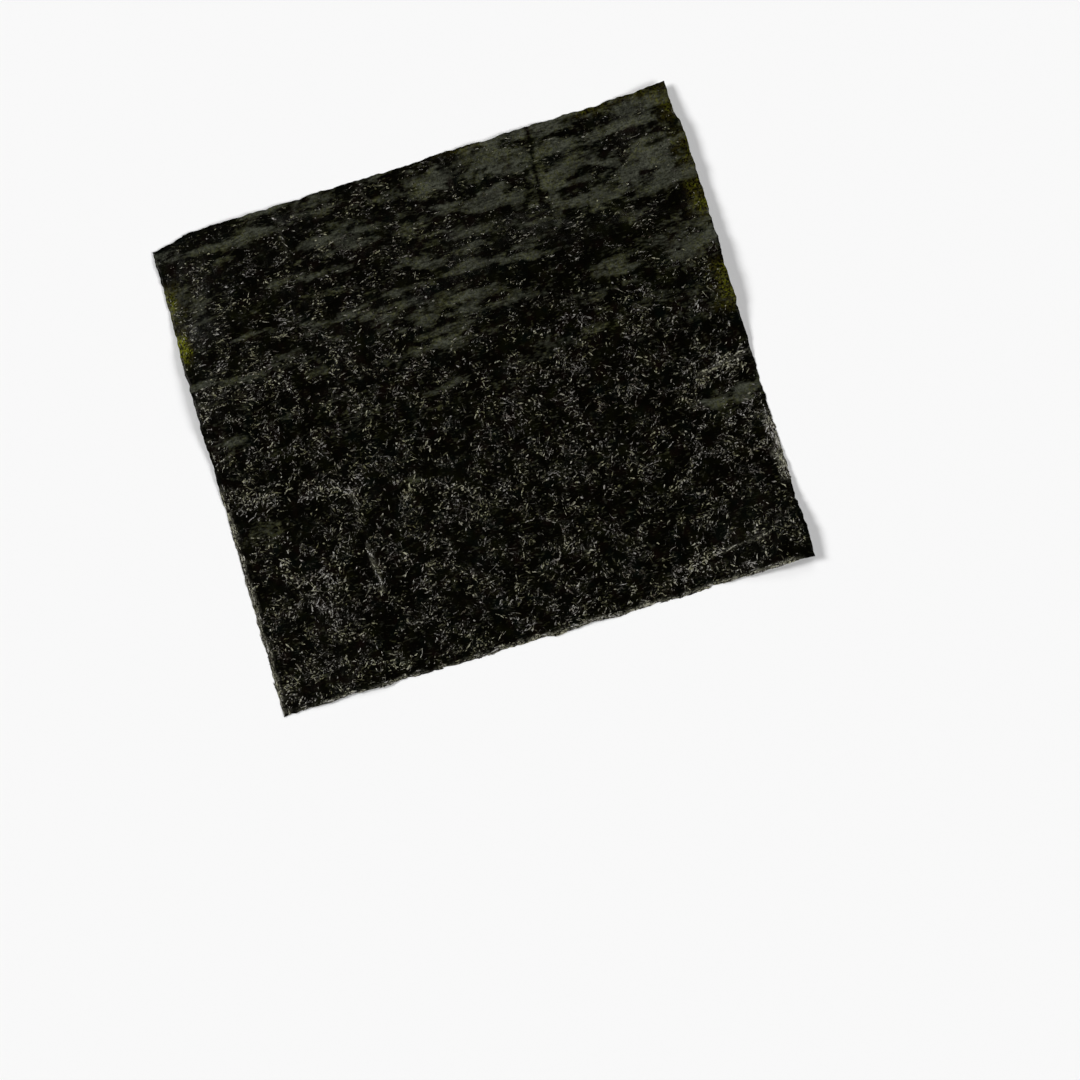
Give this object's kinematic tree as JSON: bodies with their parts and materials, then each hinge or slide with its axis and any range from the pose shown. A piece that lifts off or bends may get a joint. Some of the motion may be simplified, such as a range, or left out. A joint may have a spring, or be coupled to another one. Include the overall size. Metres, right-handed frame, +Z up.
{
  "type": "roasted nori sheet",
  "caption": "Full-size sheet of roasted nori: a thin, crisp, near-black green leaf of pressed seaweed with gentle waves and torn edges, lying flat for wrapping rice.",
  "frame": {"origin": "on the table, under the middle of the sheet's outline", "axes": "+X along the long side, +Y along the short side towards the rippled edge, +Z up"},
  "size_m": [0.2094, 0.1896, 0.0064],
  "materials": {
    "toasted_nori": "near-black green, satin, with fine pale shreds and smoother pressed streaks"
  },
  "bodies": {
    "root": {"nori_sheet": "toasted_nori"}
  },
  "joints": []
}
